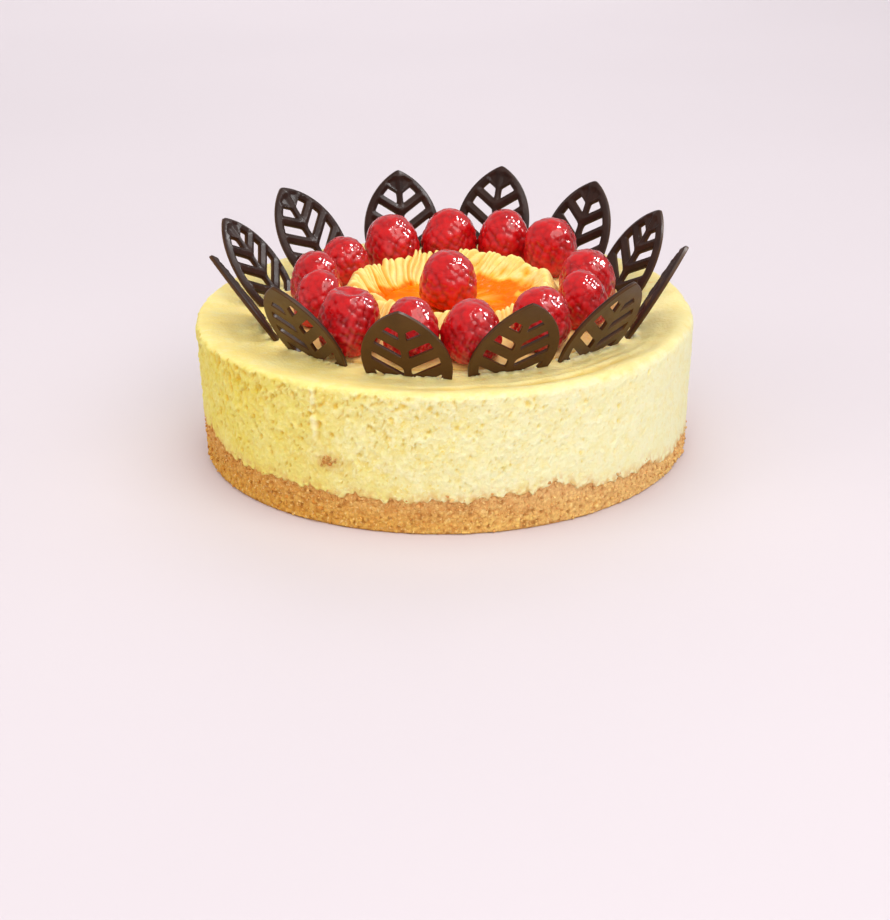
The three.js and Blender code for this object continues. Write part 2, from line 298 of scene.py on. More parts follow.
def srgb(red, green, blue):
    """A colour as it is seen on a screen, from 0 to 255, for a shader."""
    shares = [value / 255 for value in (red, green, blue)]
    linear = [s / 12.92 if s <= 0.04045 else ((s + 0.055) / 1.055) ** 2.4 for s in shares]
    return (*linear, 1)


class Shader:
    """A material with one Principled shader, and short calls for the nodes in front of it."""

    def __init__(self, name, **fixed):
        self.material = bpy.data.materials.new(name)
        self.material.use_nodes = True
        self.tree = self.material.node_tree
        self.surface = self.tree.nodes["Principled BSDF"]
        self.fill(self.surface, fixed)
        self.place = self.node("TexCoord").outputs["Object"]

    def link(self, value, socket):
        if isinstance(value, bpy.types.NodeSocket):
            self.tree.links.new(value, socket)
        else:
            socket.default_value = value

    def fill(self, node, inputs):
        for name, value in inputs.items():
            self.link(value, node.inputs[name.replace("_", " ")])

    def node(self, kind, settings=(), **inputs):
        """A new node with its settings, and a number, a colour or a link on each of the named inputs."""
        node = self.tree.nodes.new(f"ShaderNode{kind}")
        for name, value in settings:
            setattr(node, name, value)
        self.fill(node, inputs)
        return node

    def mark(self, name):
        """A value painted on the mesh."""
        return self.node("Attribute", [("attribute_name", name)]).outputs["Fac"]

    def fleck(self, size, detail=2):
        """Noise from 0 to 1 with lumps of that many millimetres."""
        return self.node("TexNoise", Vector=self.place, Scale=1 / (size * MM), Detail=detail).outputs["Fac"]

    def band(self, value, low, high, start=0, end=1):
        """Turns low to high of a value into start to end, and holds it there."""
        ends = {"From_Min": low, "From_Max": high, "To_Min": start, "To_Max": end}
        return self.node("MapRange", Value=value, **ends).outputs["Result"]

    def times(self, first, second):
        node = self.node("Math", [("operation", "MULTIPLY")])
        self.link(first, node.inputs[0])
        self.link(second, node.inputs[1])
        return node.outputs[0]

    def blend(self, share, first, second):
        """The first colour where share is 0, and the second where it is 1."""
        first, second = (srgb(*colour) if isinstance(colour, tuple) else colour for colour in (first, second))
        return self.node("Mix", [("data_type", "RGBA")], Factor=share, A=first, B=second).outputs["Result"]

    def patches(self, size, detail, first, second):
        """Two colours in soft patches of that many millimetres."""
        return self.blend(self.band(self.fleck(size, detail), 0.35, 0.65), first, second)

    def finished(self, colour, roughness, grit, depth):
        """The material with its colour, its roughness and a fine relief as deep as that many millimetres."""
        relief = self.node("Bump", Distance=depth * MM, Height=grit).outputs["Normal"]
        self.fill(self.surface, {"Base_Color": colour, "Roughness": roughness, "Normal": relief})
        return self.material


def sinking(share, spread, depth):
    """Light that sinks into a surface: how much of it, how far for each colour, and how deep in metres."""
    return {"Subsurface_Weight": share, "Subsurface_Radius": spread, "Subsurface_Scale": depth}


def filling_material():
    made = Shader("baked_filling", Specular_IOR_Level=0.2, **sinking(0.2, (1.0, 0.65, 0.25), 0.002))
    on_side = made.times(made.band(made.mark("skin"), 0, 1, 1, 0.15), made.mark("broken"))
    warm_shade_and_light = made.mark("warm_shade_and_light")
    # Deeper gold on the left side and a little at the back: partly the curd's own colour, partly painted
    # shade where the side turns away from the lamps.
    curd = made.blend(warm_shade_and_light, (245, 242, 197), (237, 219, 96))
    mottle = made.times(made.band(made.fleck(3.4), 0.48, 0.7, 0, 0.6), on_side)
    curd = made.blend(mottle, curd, (240, 222, 118))
    skin = made.patches(14, 4, (247, 226, 148), (250, 235, 166))
    # The top's left is painted lighter and more yellow: painted light.
    lit_left_skin = made.patches(14, 4, (254, 228, 134), (255, 236, 154))
    skin = made.blend(made.band(warm_shade_and_light, 0.1, 0.7), skin, lit_left_skin)
    skin = made.blend(made.band(made.fleck(4, 3), 0.5, 0.75, 0, 0.5), skin, (254, 241, 184))
    # Deeper yellow in the knife strokes' valleys, as painted shade, with faint streaks of tint.
    skin = made.blend(made.mark("streak_and_stroke_shade"), skin, (236, 202, 106))
    colour = made.blend(made.mark("skin"), curd, skin)
    specks = made.times(made.band(made.fleck(1.3), 0.58, 0.74, 0, 0.8), on_side)
    colour = made.blend(specks, colour, (240, 212, 94))
    pale_curd = made.blend(warm_shade_and_light, (254, 250, 214), (253, 244, 176))
    pale = made.times(made.band(made.fleck(1.2), 0.56, 0.72, 0, 0.7), on_side)
    colour = made.blend(pale, colour, pale_curd)
    # Pores, crevices and the strip beside the seam are painted a deeper yellow: painted shade.
    colour = made.blend(made.mark("pore_and_crevice_shade"), colour, made.blend(warm_shade_and_light, (243, 221, 118), (234, 188, 48)))
    # torn is pale curd on raised ridges and lips, partly the paler torn curd and partly painted highlight;
    # lip is the seam's painted highlight; spot and stain are the cake's own colour.
    tints = {"torn": pale_curd, "lip": (254, 245, 188), "spot": (240, 168, 66), "stain": (218, 166, 84)}
    for mark, tint in tints.items():
        colour = made.blend(made.mark(mark), colour, tint)
    gloss = made.band(made.mark("skin"), 0, 1, 0.62, 0.5)
    return made.finished(colour, gloss, made.fleck(1.5, 6), 0.55)


def crumb_material():
    made = Shader("biscuit_crumb", Subsurface_Weight=0.08, Subsurface_Scale=0.001, Specular_IOR_Level=0.2)
    height = made.node("SeparateXYZ", Vector=made.place).outputs["Z"]
    upper = made.band(height, 0.004, 0.014)
    rust = made.blend(upper, (216, 142, 58), (211, 139, 77))
    straw = made.blend(upper, (252, 212, 112), (246, 200, 128))
    colour = made.blend(made.mark("grain"), rust, straw)
    # Paler at the right front, as painted light, and deeper gold at the left, as painted shade.
    colour = made.blend(made.times(made.mark("lit_pale_side"), 0.45), colour, (250, 212, 152))
    colour = made.blend(made.times(made.mark("shaded_gold_side"), 0.5), colour, (218, 152, 40))
    colour = made.blend(made.band(made.fleck(1.3), 0.58, 0.7, 0, 0.8), colour, (253, 220, 148))
    colour = made.blend(made.band(made.fleck(1.7), 0.63, 0.71, 0, 0.7), colour, (190, 118, 50))
    # Darker in the creases between grains and in pits, as painted shade; on loose crumbs a darker tone of
    # their own.
    colour = made.blend(made.mark("crease_shade_and_dark_tone"), colour, (172, 110, 46))
    return made.finished(colour, 0.75, made.fleck(0.5, 4), 0.3)


def cream_material():
    made = Shader("piped_cream", Specular_IOR_Level=0.1, **sinking(0.25, (1.0, 0.7, 0.35), 0.0018))
    glaze = made.mark("glaze")
    colour = made.patches(3, 3, (254, 225, 132), (255, 235, 158))
    colour = made.blend(made.mark("valley"), colour, (250, 184, 76))
    # Peach on the outer sheet under the berries: a faint peach tint, with painted shade and the berries' red
    # bounce.
    colour = made.blend(made.mark("peach_and_berry_shade"), colour, (240, 190, 120))
    colour = made.blend(made.band(glaze, 0, 0.5), colour, (255, 192, 72))
    colour = made.blend(made.band(glaze, 0.5, 1), colour, (248, 118, 0))
    return made.finished(colour, made.band(glaze, 0.1, 0.8, 0.5, 0.25), made.fleck(0.8, 4), 0.08)


def glaze_material():
    made = Shader("orange_glaze", Specular_IOR_Level=0.03, **sinking(0.3, (1.0, 0.4, 0.05), 0.003))
    colour = made.patches(7, 3, (240, 108, 0), (252, 142, 0))
    return made.finished(colour, made.band(made.fleck(3, 3), 0.3, 0.7, 0.16, 0.32), made.fleck(2.5, 3), 0.15)


def berry_material():
    wet = {"Specular_IOR_Level": 0.3, "Coat_Weight": 0.85, "Coat_Roughness": 0.05, "Coat_IOR": 1.45}
    made = Shader("glazed_raspberry", **wet, **sinking(0.3, (1.0, 0.12, 0.08), 0.0022))
    # Lighter red on each drupelet's crown: painted highlight, mixed with a random tone per drupelet.
    flesh = made.blend(made.mark("tone_and_drupelet_highlight"), (180, 2, 10), (212, 14, 20))
    flesh = made.blend(made.band(made.fleck(5), 0.4, 0.7), flesh, (206, 12, 16))
    # A pale pink haze on the lower drupelets: the berry's pale bloom and a painted soft highlight.
    flesh = made.blend(made.mark("bloom_and_soft_highlight"), flesh, (230, 112, 116))
    # Darker red between the drupelets: painted shade.
    colour = made.blend(made.mark("crease_shade_and_dark_tone"), flesh, (150, 6, 12))
    gloss = made.band(made.mark("glazed"), 0, 1, 0.45, 0.16)
    return made.finished(colour, gloss, made.fleck(0.9, 3), 0.07)


def chocolate_material():
    made = Shader("moulded_chocolate", Specular_IOR_Level=0.19, Coat_Weight=0.06, Coat_Roughness=0.25)
    # One chocolate as a lit and a shaded copy: the outer face's lighter olive-brown is painted light with the
    # cake's yellow reflected in it, and the inner face's darker brown is painted shade.
    front = made.patches(11, 4, (77, 48, 17), (88, 56, 22))
    back = made.patches(8, 4, (44, 26, 20), (56, 35, 28))
    colour = made.blend(made.mark("inside"), front, back)
    gloss = made.band(made.fleck(6, 4), 0.3, 0.7, 0.34, 0.46)
    return made.finished(colour, gloss, made.fleck(1.5, 4), 0.04)


def floor_material():
    made = Shader("pale_floor", Specular_IOR_Level=0.2, Roughness=0.7)
    drift = made.band(made.fleck(400), 0.3, 0.7)
    made.fill(made.surface, {"Base_Color": made.blend(drift, (216, 207, 213), (219, 210, 216))})
    return made.material


# ---- the cake's body ----


def side_radius(angle, height):
    wobble = 0.3 * np.sin(2 * angle + 0.6) + 0.2 * np.sin(5 * angle + 1.9)
    return BASE_RADIUS + (TOP_RADIUS - BASE_RADIUS) * height / RIM_HEIGHT + wobble


def crumb_edge(angle):
    """Height of the ragged line between crumb base and filling, all the way round."""
    around = on_circle(angle)
    height = CRUMB_HEIGHT + swells(angle, CRUMB_SWELLS)
    return height + 0.8 * rough(around, 5, 11, 3) + 1.25 * rough(around, 1.9, 17)


def rim_height(angle):
    swelling = np.maximum(0, np.cos(angle - math.radians(33))) ** 24
    return RIM_HEIGHT + 0.35 * np.sin(3 * angle + 1.1) + 0.9 * swelling


def top_height(angle, radius):
    share = radius / TOP_RADIUS
    return TOP_HEIGHT + (rim_height(angle) - TOP_HEIGHT) * smooth(share, 0.8, 0.965)


class Pores:
    """Small torn holes scattered over the filling's side, denser and taller at the left."""

    COUNT = 2300

    def __init__(self, angle, height, low, high):
        self.angle = angle
        self.height = height
        self.depth = np.zeros_like(height)
        self.lip = np.zeros_like(height)
        draw = np.random.default_rng(5)
        columns = height.shape[1]
        for _ in range(self.COUNT):
            column = int(draw.integers(columns))
            share = draw.random() ** 0.8 if draw.random() < 0.8 else 1 - 0.2 * draw.random()
            self.tear(draw, column, low[column] + 1.5 + (high[column] - low[column] - 1.5) * share, share)

    def tear(self, draw, column, height, share):
        azimuth = self.angle[column]
        left = float(angle_bell(azimuth, 215, 34))
        smoother = float(angle_bell(azimuth, 335, 42))
        size = draw.gamma(3.0, 0.12) + 0.22
        chance = draw.random()
        if chance < 0.75 * smoother + 0.35 * (share < 0.2) + 0.22 * (1 - left):
            return
        reach = size * (1 + (0.5 + 1.8 * draw.random()) * (0.25 + 0.75 * left) * smooth(share, 0.5, 0.9))
        lean = draw.normal(0, 0.35 if left > 0.4 else 0.9)
        window = 6 + int(reach / 0.66) * 2
        columns = np.arange(column - window, column + window + 1) % self.height.shape[1]
        across = (self.angle[columns] - azimuth + math.pi) % TAU - math.pi
        across = across[None, :] * BASE_RADIUS
        up = self.height[:, columns] - height
        along = up * math.cos(lean) + across * math.sin(lean)
        beside = across * math.cos(lean) - up * math.sin(lean)
        away = np.sqrt((beside / size) ** 2 + (along / reach) ** 2)
        depth = min(1.0, 0.35 + 0.75 * size) * (0.85 + 0.6 * left) * unit(1 - away**2) ** 1.3
        self.depth[:, columns] = np.maximum(self.depth[:, columns], depth)
        self.lip[:, columns] += 0.16 * bell(away, 1.35, 0.35)


def side_relief(points, angle, low, high):
    """How far the torn side stands out; how pale its raised ridges look, partly painted highlight; its
    crevices and hollows, to be painted as shade; and its one seam, painted white along its ridge as a
    highlight, with painted shade beside it.
    """
    height = points[:, 2]
    share = (height - low) / (high - low)
    calm_foot = 1 - 0.6 * (1 - smooth(share, 0.05, 0.25))
    strength = (1 - 0.55 * angle_bell(angle, 330, 42)) * calm_foot
    squeezed = points * np.array([1, 1, 0.75])
    patches = np.tanh(2.4 * rough(squeezed, 4.6, 31, 3))
    flakes = 1 - np.abs(rough(squeezed, 2.8, 41))
    ridge = unit(flakes - 0.55) / 0.45
    near, next_near, _ = cells(squeezed + 0.5 * noise(points, 1.8, 45)[:, None], 2.3, 43)
    crevice = unit(1 - (next_near - near) / 0.3) * smooth(noise(points, 5.5, 47), -0.25, 0.5)
    fine = rough(points, 1.5, 51)
    relief = 0.3 * rough(points, 19, 21)
    relief += strength * (0.24 * patches + 0.32 * ridge**2 + 0.24 * fine - 0.22 * crevice)
    # Crevices and the lows of the fine relief, to be painted darker as shade.
    hollow = strength * unit(0.5 * crevice - 0.6 * fine - 0.12 * patches)
    seam = (angle - math.radians(SEAM_AZIMUTH)) * BASE_RADIUS + 1.3 * noise(points, 9, 61)
    seam += 0.8 * noise(points, 3, 63)
    seam_reach = smooth(height, 31, 38) * (1 - smooth(height, 55, 57))
    # The seam's ridge is painted white as a highlight, and the strip beside it darker as shade.
    white = seam_reach * bell(seam, 0.1, 0.95) * patchy(points, 2.4, 65, -0.9, 0.5)
    shaded = seam_reach * bell(seam, 1.6, 0.8) * patchy(points, 4, 67, -0.8, 0.4)
    relief += 0.6 * white - 0.9 * shaded + 0.5 * seam_reach * bell(seam, -4, 4)
    zone = 0.3 + 0.6 * angle_bell(angle, 262, 20)
    # Pale on the raised ridges and fine bumps, less in crevices: partly the paler torn curd, partly painted
    # highlight.
    torn = strength * zone * unit(0.8 * ridge**2 + 0.5 * fine - crevice)
    return relief, torn, hollow + 0.7 * shaded, white


def leaf_lips(points):
    """Filling pushed up in broken lips round the foot of each leaf, on the cake's top."""
    lift = np.zeros(len(points))
    for place in leaf_places():
        local = (points - np.array(place.translation)) @ np.array(place.to_3x3())
        across = np.maximum(np.abs(local[:, 0]) - 14.5, 0)
        outer = np.hypot(local[:, 2] - 2.2, across)
        inner = np.hypot(local[:, 2] + 2.2, across)
        lift = np.maximum(lift, bell(outer, 0, 0.9) + 0.5 * bell(inner, 0, 1.1))
    return lift * (0.25 + 1.1 * patchy(points, 2.4, 71, -0.35, 0.5))


def top_relief(points, angle, radius):
    """The top skin: knife strokes, soft unevenness and faint streaks, and how deep yellow it looks; the
    strokes' valleys are painted deeper yellow as shade and their ridges lighter.
    """
    drift = 1.1 * noise(on_circle(angle), 24, 81) + 0.5 * noise(points, 7, 87)
    soft = rough(points, 13, 91, 3)
    streaks = np.sin((radius + 2.2 * noise(points, 16, 83)) / 3.1 * TAU) * noise(on_circle(angle), 9, 85)
    relief = 0.22 * soft + 0.06 * streaks + 0.1 * rough(points, 3.5, 95)
    streak_and_stroke_shade = 0.12 * np.abs(streaks) + 0.22 * soft
    for middle, azimuth, reach, width, depth in STROKES:
        stroke = depth * angle_bell(angle, azimuth, reach) * bell(radius + drift, middle, width)
        stroke *= 0.75 + 0.5 * noise(on_circle(angle), 12, 89)
        relief -= stroke
        # A stroke's valley is painted deeper yellow as shade, and a ridge lighter.
        streak_and_stroke_shade += 1.1 * stroke
    return relief, unit(streak_and_stroke_shade)


def spots_on(points):
    """How much each point is part of a small orange spot."""
    spots = np.zeros(len(points))
    for azimuth, radius, size in SPOTS:
        middle = radius * np.array([math.cos(math.radians(azimuth)), math.sin(math.radians(azimuth))])
        away = np.hypot(points[:, 0] - middle[0], (points[:, 1] - middle[1]) * 1.4)
        spots = np.maximum(spots, bell(away * (1 + 0.5 * noise(points, 1.1, 93)), 0, size))
    return spots * (points[:, 2] > TOP_HEIGHT - 3)


def filling_rings(angle, low, rim, shoulder):
    """Rings from the buried foot up the side, round the shoulder and in over the top."""
    side_top = rim - shoulder
    edge = side_radius(angle, low)
    rings = [(60.0, low - 2.5), (edge - 4.5, low - 2.5), (edge - 1.8, low - 0.9)]
    for share in np.linspace(0, 1, SIDE_ROWS):
        height = low + (side_top - low) * share
        rings.append((side_radius(angle, height), height))
    for turn in np.linspace(0, math.pi / 2, SHOULDER_ROWS + 1)[1:]:
        height = side_top + shoulder * math.sin(turn)
        rings.append((side_radius(angle, rim) - shoulder * (1 - math.cos(turn)), height))
    edge = side_radius(angle, rim) - shoulder
    for inset in [*np.arange(1.1, 31, 1.3), 45.0, 72.0]:
        rings.append((edge - inset, top_height(angle, edge - inset)))
    return rings


def filling_marks(points, angle, low, turn):
    """The filling's skin, crumb stains and baked-in lump; a deeper gold on the left side and a little at the
    back, partly painted shade, which also paints the top's left lighter as painted light; and more broken
    patch.
    """
    skin = smooth(turn + 0.35 * rough(points, 3, 25), 0.25, 0.95)
    stain = bell(points[:, 2] - low, -0.6, 3.4) * patchy(points, 1.5, 27, -0.6, 0.5)
    lump = unit(1.6 * angle_bell(angle, LUMP_AZIMUTH, 2.7) * bell(points[:, 2], LUMP_HEIGHT, 3.1))
    stain = unit(stain + lump * patchy(points, 2.6, 33, -1.1, 0.3))
    # Strongest at the left, where the side is painted deeper gold as shade and the top's left lighter as
    # painted light; a little at the back.
    warm_shade_and_light = swells(angle, ((203, 0.9, 50), (246, 0.22, 30), (90, 0.3, 60)))
    warm_shade_and_light = unit(warm_shade_and_light + 0.12 * rough(points, 8, 29))
    broken = 0.45 + 0.55 * angle_bell(angle, 258, 22) * patchy(points, 9, 35, -0.8, 0.3)
    return {"skin": skin, "stain": stain * 0.8, "warm_shade_and_light": warm_shade_and_light, "broken": broken}


def build_filling():
    angle = full_turn(FILLING_COLUMNS)
    low, rim = crumb_edge(angle), rim_height(angle)
    chipped = 0.5 + 0.5 * angle_bell(angle, 345, 35)
    shoulder = 2.2 + 2.4 * angle_bell(angle, 335, 45) + chipped * rough(on_circle(angle), 9, 23)
    points = stacked(filling_rings(angle, low, rim, shoulder), FILLING_COLUMNS)
    rows = len(points) // FILLING_COLUMNS
    row = np.repeat(np.arange(rows), FILLING_COLUMNS)
    around, foot = np.tile(angle, rows), np.tile(low, rows)
    turn = unit((row - FOOT_ROWS - SIDE_ROWS + 1) / SHOULDER_ROWS) * math.pi / 2
    side_share = np.cos(turn) * (row >= FOOT_ROWS)

    pores = Pores(angle, points[:, 2].reshape(rows, -1), low, rim - shoulder + 0.5)
    depth = pores.depth.ravel() * side_share
    relief, torn, hollow, white = side_relief(points, around, foot, np.tile(rim, rows))
    tucked = smooth(points[:, 2] - foot, -0.2, 1.6)
    outwards = side_share * (relief * (0.4 + 0.6 * tucked) - 0.9 * depth + pores.lip.ravel())
    outwards += side_share * 0.15 * (1 - tucked)
    radius = np.hypot(points[:, 0], points[:, 1])
    top, streak_and_stroke_shade = top_relief(points, around, radius)
    lips = leaf_lips(points)
    spots = spots_on(points)
    push_out(points, around, outwards)
    points[:, 2] += np.sin(turn) * (top + 0.8 * lips * (radius > 66))

    marks = filling_marks(points, around, foot, turn)
    bare = 1 - marks["skin"]
    # The pores' depth and the side's hollows, painted deeper yellow as shade.
    marks["pore_and_crevice_shade"] = unit(depth * 1.1 + 0.5 * hollow * bare)
    # Pale on ridges and on the lips at the leaves' feet: partly painted highlight.
    marks["torn"] = unit(torn * bare + 0.8 * unit(lips) * np.sin(turn)) * 0.8
    # The seam's white: painted highlight along its ridge.
    marks["lip"] = unit(white * bare)
    marks["streak_and_stroke_shade"] = streak_and_stroke_shade
    marks["spot"] = spots * 0.8
    add_rings("filling_curd", points, FILLING_COLUMNS, "filling", "filling", marks)


def crumb_sides(angle):
    """The base is painted a deeper gold at the left of the front, as shade, and paler at the right front, as
    light where the key lamp falls.
    """
    return {"shaded_gold_side": angle_bell(angle, 215, 45), "lit_pale_side": angle_bell(angle, 325, 50)}


def build_crumb_base():
    columns, side_rows = 1440, 36
    angle = full_turn(columns)
    high = crumb_edge(angle) + 0.6
    rings = [(50.0, 0.0), (side_radius(angle, 0) - 1.3, 0.0)]
    first_side = len(rings)
    for share in np.linspace(0, 1, side_rows):
        height = 0.5 + (high - 0.5) * share
        rings.append((side_radius(angle, height) - 0.45 - 0.4 * (share == 0), height))
    last_side = len(rings) - 1
    rings += [(side_radius(angle, high) - 2.2, high + 0.4), (60.0, high)]
    points = stacked(rings, columns)
    row = np.repeat(np.arange(len(rings)), columns)
    around = np.tile(angle, len(rings))

    coarse, coarse_next, number = cells(points, 1.7, 101)
    small, small_next, grain = cells(points, 0.85, 111)
    lumps = unit(0.62 - coarse) * 0.9 + (number - 0.5) * 0.45
    outwards = lumps + 0.4 * unit(0.6 - small) + 0.25 * rough(points, 7, 121) - 0.3
    pit = smooth(0.2 - number, 0, 0.12) * smooth(0.55 - coarse, 0, 0.2)
    on_side = (row >= first_side) & (row <= last_side)
    push_out(points, around, np.where(on_side, outwards - 0.45 * pit, 0))
    # Painted shade in the creases between grains and in the pits.
    crease_shade_and_dark_tone = unit(1 - (coarse_next - coarse) / 0.2) * 0.3
    crease_shade_and_dark_tone += unit(1 - (small_next - small) / 0.2) * 0.12 + 0.6 * pit
    marks = {"grain": 0.55 * number + 0.45 * grain, "crease_shade_and_dark_tone": unit(crease_shade_and_dark_tone), **crumb_sides(around)}
    add_rings("crumb_crust", points, columns, "crumb", "crumb_base", marks)


# ---- scattered bits ----


def scatter_bits(spots, sizes, draw, flatness=0.6):
    """One irregular bit at each spot, turned every way, all joined."""
    corners, triangles = sphere(1)
    count = len(corners)
    points = []
    for spot, size in zip(spots, sizes):
        turn = np.linalg.qr(draw.normal(size=(3, 3)))[0]
        stretch = size * (flatness + (1 - flatness) * 2 * draw.random(3))
        lumpy = corners * (0.72 + 0.5 * draw.random((count, 1)))
        points.append((lumpy * stretch) @ turn + spot)
    faces = np.concatenate([triangles + index * count for index in range(len(points))])
    return np.concatenate(points), faces, count


def build_loose_crumbs():
    """Crumbs that stand out of the base's side and stick to the lowest filling, and one baked-in lump."""
    draw = np.random.default_rng(7)
    angle = draw.random(CRUMB_COUNT) * TAU
    edge = crumb_edge(angle)
    share = draw.random(CRUMB_COUNT)
    near_edge = draw.random(CRUMB_COUNT) < 0.22
    height = np.where(near_edge, edge + draw.normal(0.1, 0.8, CRUMB_COUNT), 0.9 + (edge - 0.9) * share)
    radius = side_radius(angle, height) - 0.45 + 0.3 * draw.random(CRUMB_COUNT)
    sizes = 0.25 + draw.gamma(2.2, 0.1, CRUMB_COUNT)
    share = draw.random(LUMP_COUNT)
    lump_angle = np.radians(LUMP_AZIMUTH - 2.2 + 4.6 * share + draw.normal(0, 0.35, LUMP_COUNT))
    lump_height = LUMP_HEIGHT - 1.4 + 2.8 * share + draw.normal(0, 0.8, LUMP_COUNT)
    lump = polar(lump_angle, side_radius(lump_angle, lump_height) - 0.2, lump_height)
    spots = np.concatenate([polar(angle, radius, height), lump])
    sizes = np.concatenate([sizes, 0.5 + 0.4 * draw.random(LUMP_COUNT)])
    spots[:, 2] = np.maximum(spots[:, 2], sizes)
    points, triangles, corners = scatter_bits(spots, sizes, draw)
    grain = draw.random(len(spots))
    darker = 0.3 * (np.arange(len(spots)) >= CRUMB_COUNT)
    # On the loose crumbs this mark is only a darker tone of some crumbs, darker in the lump.
    crease_shade_and_dark_tone = unit(draw.normal(0.05, 0.22, len(spots)) + darker)
    points[:, 2] = np.maximum(points[:, 2], 0.02)
    marks = {"grain": np.repeat(grain, corners), "crease_shade_and_dark_tone": np.repeat(crease_shade_and_dark_tone, corners)}
    marks.update(crumb_sides(np.arctan2(points[:, 1], points[:, 0])))
    add_piece("loose_crumbs", points, triangles, "crumb", marks=marks)


def build_curd_flecks():
    """Whitish bits of filling broken up where the leaves were pushed in."""
    draw = np.random.default_rng(9)
    spots, sizes = [], []
    for place in leaf_places():
        for _ in range(FLECKS_AT_LEAF):
            side = 1 if draw.random() < 0.7 else -1
            spot = place @ Vector((draw.uniform(-15, 15), 0, side * (1.7 + abs(draw.normal(0, 0.7)))))
            spot.z = TOP_HEIGHT + 0.1 + 0.3 * draw.random()
            spots.append(np.array(spot))
            sizes.append(0.25 + draw.gamma(2.0, 0.13))
    points, triangles, _ = scatter_bits(np.array(spots), sizes, draw, 0.5)
    zero = np.zeros(len(points))
    marks = {mark: zero for mark in ("pore_and_crevice_shade", "broken", "lip", "streak_and_stroke_shade", "spot", "stain", "warm_shade_and_light")}
    marks.update({"torn": zero + 0.6, "skin": zero + 0.3})
    add_piece("curd_flecks", points, triangles, "filling", marks=marks)


# ---- cream and glaze ----


def rounded_path(corners, rounds=3):
    """Cuts the corners of an open path a few times, so that it bends smoothly."""
    path = np.array(corners, float)
    for _ in range(rounds):
        ahead = path[:-1] * 0.75 + path[1:] * 0.25
        behind = path[:-1] * 0.25 + path[1:] * 0.75
        path = np.concatenate([path[:1], np.stack([ahead, behind], 1).reshape(-1, 2), path[-1:]])
    return path


def evenly(path, count):
    """Points at equal distances along a path."""
    steps = np.linalg.norm(np.diff(path, axis=0), axis=1)
    run = np.concatenate([[0], np.cumsum(steps)])
    wanted = np.linspace(0, run[-1], count)
    return np.stack([np.interp(wanted, run, path[:, axis]) for axis in range(path.shape[1])], 1)


class Piping:
    """The piped ring's uneven shells, each of a few ridges that the glaze calms at the right."""

    def __init__(self, angle):
        draw = np.random.default_rng(13)
        self.angle = angle
        self.shell_height = draw.normal(0, 0.5, SHELLS)
        self.ridge_depth = 1 + draw.normal(0, 0.3, RIDGES)
        self.ridge_height = draw.normal(0, 0.5, RIDGES)
        ends = np.cumsum([0, *(0.5 + draw.random(RIDGES))])
        self.ridge_ends = ends * (RIDGES / ends[-1])
        self.right = angle_bell(angle, 15, 50)
        self.calm = np.maximum(self.right, 0.75 * angle_bell(angle, 288, 30))

    def ring(self, radius, height, normal, inwards):
        """One ring of points, some share of the way in from the crest, and how deep in a valley each is."""
        angle, right = self.angle, self.right
        raised = smooth(height, 2.6, 8.0) if inwards <= 0 else 1.0 - 0.75 * inwards**2
        warp = 0.35 * np.sin(angle * 7 + 0.7) + 0.25 * np.sin(angle * 17 + 2 * inwards)
        phase = (angle / TAU * RIDGES - RIDGE_TWIST * inwards + warp) % RIDGES
        phase = np.interp(phase, self.ridge_ends, np.arange(RIDGES + 1))
        number = np.floor(phase).astype(int) % RIDGES
        ridge = (1 - np.abs(2 * (phase - np.floor(phase)) - 1) ** 2) ** 0.55
        shell = phase / RIDGES_IN_SHELL
        rise = shell - np.floor(shell)
        step = rise - 0.5 - 1.0 * smooth(rise, 0.88, 1.0)
        fading = 1 - self.calm * (0.4 + 0.6 * smooth(inwards, 0.0, 0.15))
        outwards = (0.4 + 0.9 * raised) * fading * self.ridge_depth[number] * (ridge - 0.6)
        outwards += 1.5 * raised * step * (1 - 0.75 * right * smooth(inwards, 0, 0.15))
        crest_lift = (0.8 + self.ridge_height[number]) * (ridge - 0.4) * (1 - 0.5 * self.calm)
        crest_lift = self.shell_height[np.floor(shell).astype(int) % SHELLS] + crest_lift
        lift = smooth(height, 5, 12.5) * (crest_lift + 0.6 * np.sin(2 * angle + 0.4))
        lift += 2.6 * right * smooth(inwards, 0.35, 0.8)
        level = TOP_HEIGHT + height + normal[1] * outwards + lift
        valley = (1 - ridge) * fading + smooth(rise, 0.86, 0.97) * (1 - 0.7 * right)
        return polar(angle, radius + normal[0] * outwards, level) + CREAM_CENTRE, unit(valley) * raised


def soften_cream(points, around, spread, inwards):
    """Curdles the piped surface and makes its outer sheet and edge uneven. Returns the curds."""
    points += (0.26 * rough(points, 3.4, 131, 3))[:, None] * np.array([0.4, 0.4, 1])
    curds = angle_bell(around, 15, 50) * smooth(inwards, 0.0, 0.15) * rough(points, 3.0, 133)
    points += curds[:, None] * np.array([0.5, 0.5, 1.1])
    sheet = smooth(spread, 44, 50) * (inwards == 0)
    points[:, 2] += sheet * (0.5 * rough(points, 9, 135) + 0.25 * noise(points, 3.2, 137))
    edge = smooth(spread, 62, 71) * 1.6 * rough(on_circle(around, 70), 12, 139)
    push_out(points, around, -np.abs(edge))
    return curds


